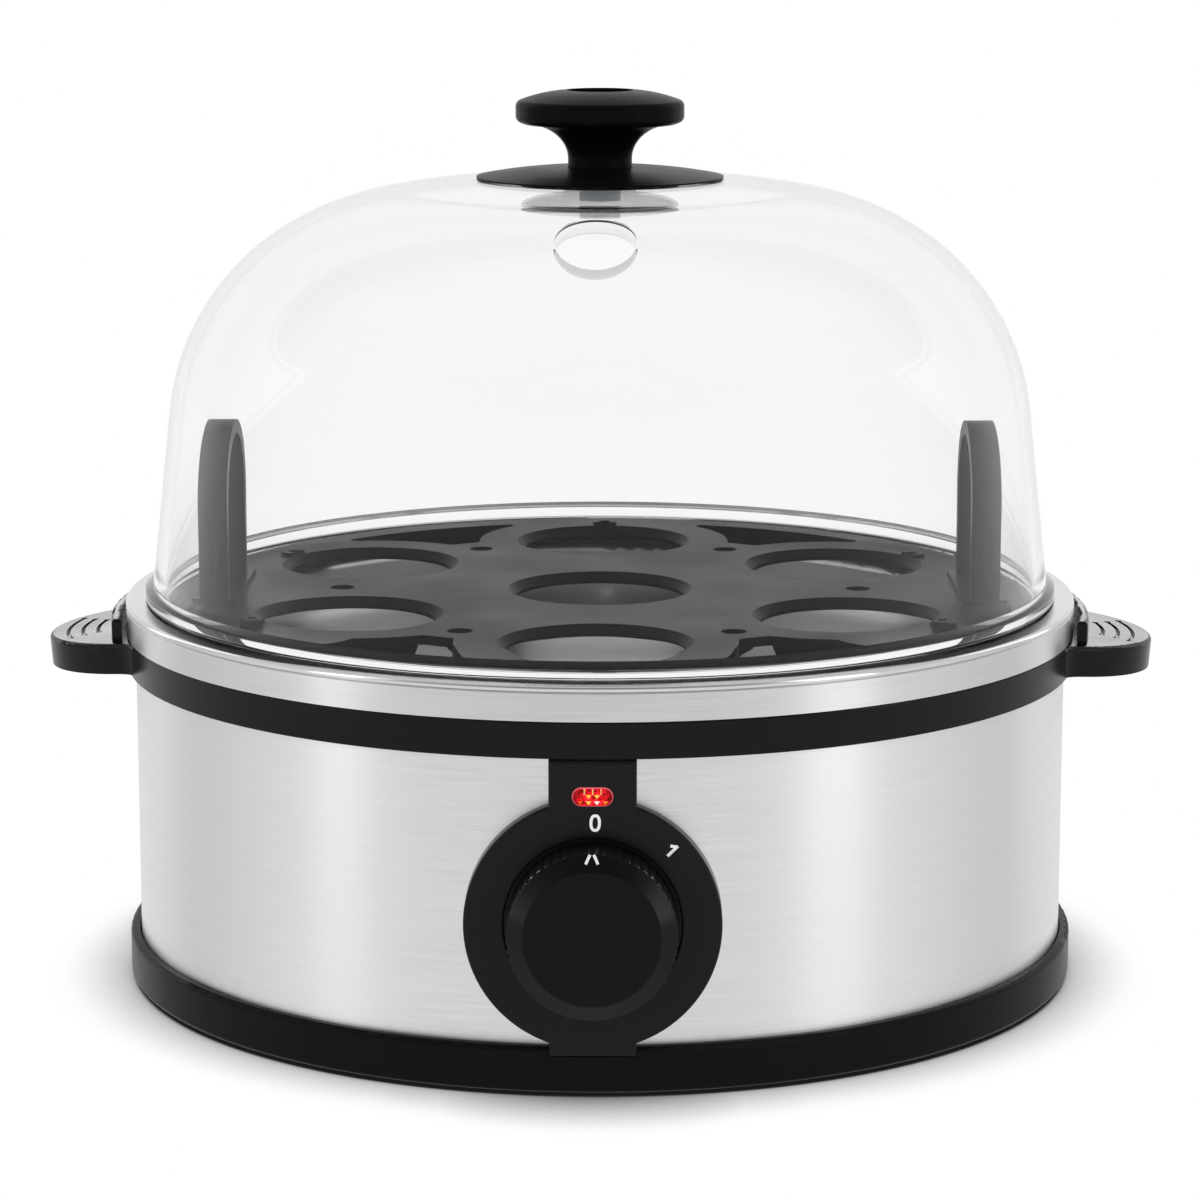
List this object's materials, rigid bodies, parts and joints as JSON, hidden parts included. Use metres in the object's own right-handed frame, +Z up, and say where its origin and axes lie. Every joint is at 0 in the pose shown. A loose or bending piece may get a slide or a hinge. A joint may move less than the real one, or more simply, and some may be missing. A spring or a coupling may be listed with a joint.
{
  "type": "electric egg cooker",
  "caption": "Round steel egg cooker with a clear lifting dome, a lift-out egg tray with loop handles, side ears and a rotary switch with a lit indicator.",
  "frame": {"origin": "on the upright axis of the body, at the table surface under the feet", "axes": "+Z up, +X to the right seen from the control side, the control panel faces -Y"},
  "size_m": [0.1966, 0.1779, 0.1563],
  "materials": {
    "black_plastic": "moulded, satin",
    "knob_plastic": "moulded, satin",
    "tray_plastic": "moulded, glossy",
    "brushed_steel": "brushed round the band",
    "pan_steel": "drawn and polished",
    "clear_plastic": "clear moulded",
    "red_lens": "clear red, bevelled",
    "rubber": "moulded",
    "silicone": "moulded silicone",
    "zinc_steel": "zinc plated",
    "aluminium": "cast, plain",
    "heater_tube": "annealed sheath",
    "switch_plastic": "moulded phenolic",
    "white_plastic": "moulded nylon",
    "terminal_brass": "plain",
    "lead_sleeve": "silicone sleeve",
    "lamp_glass": "clear neon capsule"
  },
  "bodies": {
    "housing": {"base_housing": "black_plastic", "rubber_feet": "rubber", "housing_screws": "zinc_steel", "body_band": "brushed_steel", "upper_ring": "black_plastic", "boiler_pan": "pan_steel", "pan_seal": "silicone", "pan_studs": "zinc_steel", "pan_nuts": "zinc_steel", "heat_spreader": "aluminium", "heating_element": "heater_tube", "shield_posts": "zinc_steel", "shield_nuts": "zinc_steel", "heat_shield": "zinc_steel", "thermostat": "switch_plastic", "thermostat_clamp": "zinc_steel", "thermal_fuse": "zinc_steel", "fuse_clip": "zinc_steel", "control_panel": "black_plastic", "indicator_lens": "red_lens", "lamp_holder": "switch_plastic", "neon_lamp": "lamp_glass", "switch_bracket": "zinc_steel", "switch_body": "switch_plastic", "bracket_screws": "zinc_steel", "switch_terminals": "terminal_brass", "terminal_block": "white_plastic", "cord_gland": "rubber", "lead_live": "lead_sleeve", "lead_switched": "lead_sleeve", "lead_fuse": "lead_sleeve", "lead_heater": "lead_sleeve", "lead_neutral": "lead_sleeve", "lamp_leads": "lead_sleeve"},
    "dial": {"control_knob": "knob_plastic", "switch_shaft": "zinc_steel"},
    "tray": {"egg_tray": "tray_plastic"},
    "lid": {"lid_dome": "clear_plastic", "lid_knob": "knob_plastic", "lid_knob_washer": "knob_plastic", "lid_knob_screw": "zinc_steel"}
  },
  "joints": [
    {"name": "dial_turn", "type": "hinge", "parent": "housing", "child": "dial", "pos_m": [0, -0.0846, 0.0287], "axis": [0, 1, 0], "range_deg": [0, 45]},
    {"name": "tray_lift", "type": "slide", "parent": "housing", "child": "tray", "axis": [0, 0, 1], "range_m": [0, 0.09]},
    {"name": "lid_lift", "type": "slide", "parent": "tray", "child": "lid", "axis": [0, 0, 1], "range_m": [0, 0.12]}
  ]
}
